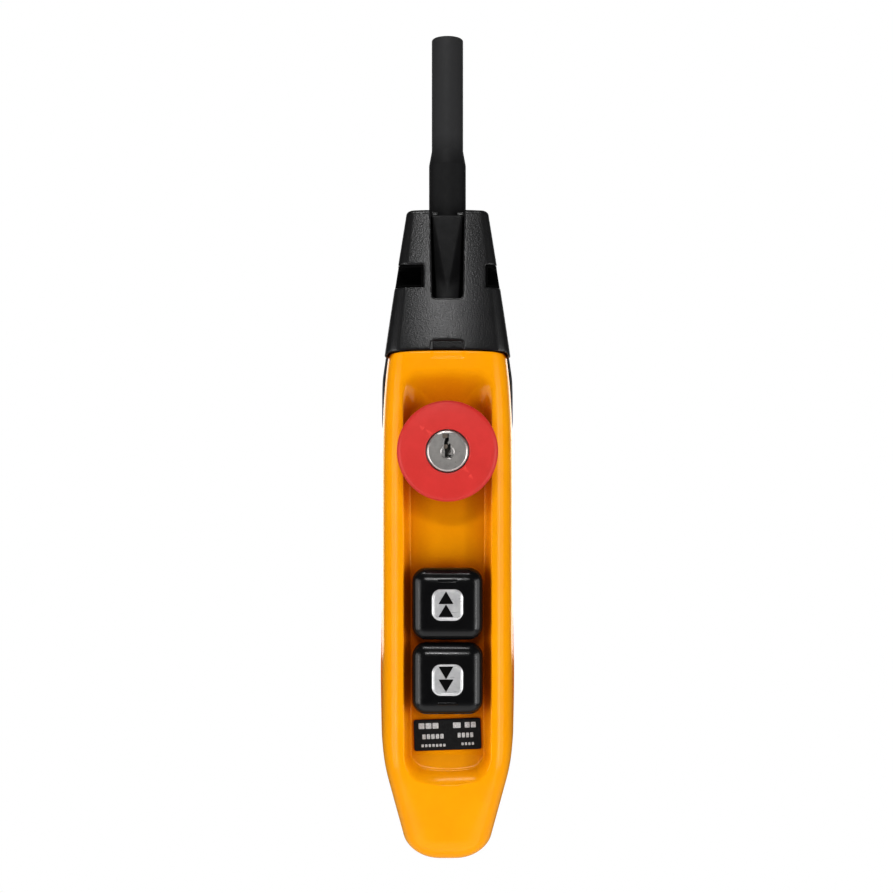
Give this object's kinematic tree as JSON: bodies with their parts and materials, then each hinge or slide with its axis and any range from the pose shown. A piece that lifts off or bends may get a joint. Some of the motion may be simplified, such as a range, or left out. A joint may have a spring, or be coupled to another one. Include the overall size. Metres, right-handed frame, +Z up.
{
  "type": "pendant control station",
  "caption": "Hand-held pendant control station for a hoist: slim case on a cable sleeve, key-release emergency stop, up and down push buttons, clamped cable head.",
  "frame": {"origin": "centre of the cable sleeve's open mouth, at the top of the station", "axes": "+Z up along the cable as the station hangs, the controls face -Y, +X to the right of someone who looks at the controls"},
  "size_m": [0.0552, 0.0648, 0.3427],
  "materials": {
    "case_yellow": "moulded orange-yellow plastic, glossy",
    "head_black": "moulded black plastic with a fine grain",
    "seal_rubber": "soft black rubber",
    "screw_steel": "zinc-plated steel",
    "plate_black": "black printed plate",
    "sleeve_rubber": "matt black moulded rubber",
    "mushroom_red": "satin red plastic",
    "lock_nickel": "nickel-plated lock",
    "insulator_ivory": "ivory insulating plastic",
    "insulator_black": "black insulating plastic",
    "nut_zinc": "zinc-plated pressed nut",
    "spring_steel": "drawn spring wire",
    "contact_brass": "stamped brass",
    "cap_black": "glossy black plastic",
    "legend_silver": "brushed silvery plate",
    "wire_jacket": "red insulated wire"
  },
  "bodies": {
    "case": {"front_cover": "case_yellow", "rear_shell": "case_yellow", "head_cap": "head_black", "case_seal": "seal_rubber", "case_screws": "screw_steel", "head_screws": "screw_steel", "rating_plate": "plate_black", "cable_sleeve": "sleeve_rubber", "cable_clamp": "head_black", "cable_clamp_screws": "screw_steel", "stop_body": "insulator_black", "stop_gasket": "seal_rubber", "stop_nut": "nut_zinc", "stop_spring": "spring_steel", "stop_contact_block": "insulator_black", "stop_fixed_contacts": "contact_brass", "stop_terminal_screws": "screw_steel", "contact_frame": "insulator_ivory", "frame_screws": "screw_steel", "jumper_wires": "wire_jacket", "up_seal": "seal_rubber", "up_spring": "spring_steel", "up_contact_block": "insulator_black", "up_fixed_contacts": "contact_brass", "up_terminal_screws": "screw_steel", "down_seal": "seal_rubber", "down_spring": "spring_steel", "down_contact_block": "insulator_black", "down_fixed_contacts": "contact_brass", "down_terminal_screws": "screw_steel"},
    "mushroom": {"mushroom_head": "mushroom_red", "lock_barrel": "lock_nickel", "stop_stem": "insulator_ivory", "stop_contact_bridge": "contact_brass"},
    "key_plug": {"lock_plug": "lock_nickel"},
    "up_button": {"up_cap": "cap_black", "up_legend": "legend_silver", "up_plunger": "insulator_ivory", "up_contact_bridge": "contact_brass"},
    "down_button": {"down_cap": "cap_black", "down_legend": "legend_silver", "down_plunger": "insulator_ivory", "down_contact_bridge": "contact_brass"}
  },
  "joints": [
    {"name": "stop_press", "type": "slide", "parent": "case", "child": "mushroom", "axis": [0, 1, 0], "range_m": [0, 0.0055], "deforming": ["stop_spring"]},
    {"name": "key_turn", "type": "hinge", "parent": "mushroom", "child": "key_plug", "pos_m": [0, -0.035, -0.1735], "axis": [0, 1, 0], "range_deg": [0, 60]},
    {"name": "up_press", "type": "slide", "parent": "case", "child": "up_button", "axis": [0, 1, 0], "range_m": [0, 0.0045], "stiffness_N_per_m": 900, "springref_m": -0.004, "deforming": ["up_spring"]},
    {"name": "down_press", "type": "slide", "parent": "case", "child": "down_button", "axis": [0, 1, 0], "range_m": [0, 0.0045], "stiffness_N_per_m": 900, "springref_m": -0.004, "deforming": ["down_spring"]}
  ]
}
